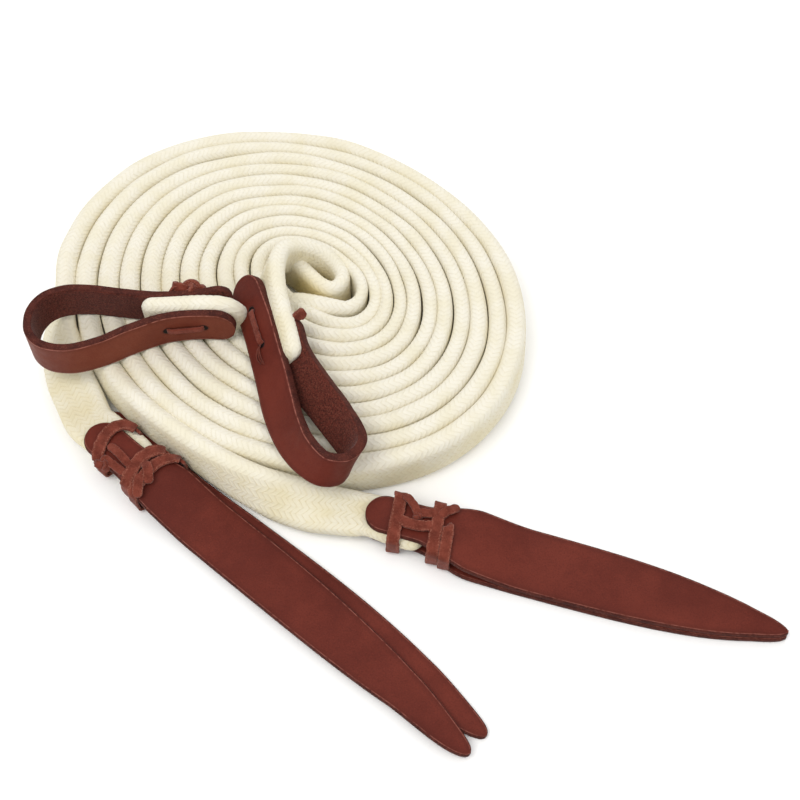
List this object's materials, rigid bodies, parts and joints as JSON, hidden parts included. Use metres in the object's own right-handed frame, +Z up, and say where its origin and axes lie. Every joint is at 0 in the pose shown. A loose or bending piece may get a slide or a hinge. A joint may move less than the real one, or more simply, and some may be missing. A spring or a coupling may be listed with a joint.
{
  "type": "braided split reins",
  "caption": "Pair of flat braided cotton riding reins in one coil, with laced folded leather bit loops at one end and two-leaf leather poppers at the other.",
  "frame": {"origin": "on the surface the coil lies on, under the middle of the whole object's box", "axes": "+Z up, +X towards the side where the right popper points, the poppers lie on the -Y side and the coil on the +Y side"},
  "size_m": [0.3939, 0.3924, 0.0493],
  "materials": {
    "leather": "semi-matte, oiled, burnished edges",
    "lace_leather": "rough suede",
    "cotton": "matte braid"
  },
  "bodies": {
    "reins": {"rein_coil": "cotton", "left_rein_tail": "cotton", "right_rein_tail": "cotton"},
    "left_loop": {"left_loop_strap": "leather", "left_rein_loop_end": "cotton", "left_loop_lace": "lace_leather"},
    "right_loop": {"right_loop_strap": "leather", "right_rein_loop_end": "cotton", "right_loop_lace": "lace_leather"},
    "left_popper": {"left_popper_bottom_leaf": "leather", "left_popper_top_leaf_root": "leather", "left_popper_lace": "lace_leather", "left_rein_popper_end": "cotton"},
    "left_top_leaf": {"left_popper_top_leaf_blade": "leather"},
    "right_popper": {"right_popper_bottom_leaf": "leather", "right_popper_top_leaf_root": "leather", "right_popper_lace": "lace_leather", "right_rein_popper_end": "cotton"},
    "right_top_leaf": {"right_popper_top_leaf_blade": "leather"}
  },
  "joints": [
    {"name": "left_loop_lift", "type": "hinge", "parent": "reins", "child": "left_loop", "pos_m": [-0.0836, 0.0367, 0.0493], "axis": [0, 1, 0], "range_deg": [0, 60]},
    {"name": "right_loop_lift", "type": "hinge", "parent": "reins", "child": "right_loop", "pos_m": [-0.0668, 0.0759, 0.0493], "axis": [-0.9701, -0.2425, 0], "range_deg": [0, 60]},
    {"name": "left_popper_lift", "type": "hinge", "parent": "reins", "child": "left_popper", "pos_m": [-0.1608, -0.0192, 0.0153], "axis": [-0.6594, -0.7518, 0], "range_deg": [0, 60]},
    {"name": "left_leaf_peel", "type": "hinge", "parent": "left_popper", "child": "left_top_leaf", "pos_m": [-0.1187, -0.0561, 0.0153], "axis": [-0.6594, -0.7518, 0], "range_deg": [0, 35]},
    {"name": "right_popper_lift", "type": "hinge", "parent": "reins", "child": "right_popper", "pos_m": [-0.0136, -0.0704, 0.0153], "axis": [-0.2983, -0.9545, 0], "range_deg": [0, 60]},
    {"name": "right_leaf_peel", "type": "hinge", "parent": "right_popper", "child": "right_top_leaf", "pos_m": [0.0399, -0.0871, 0.0153], "axis": [-0.2983, -0.9545, 0], "range_deg": [0, 35]}
  ]
}
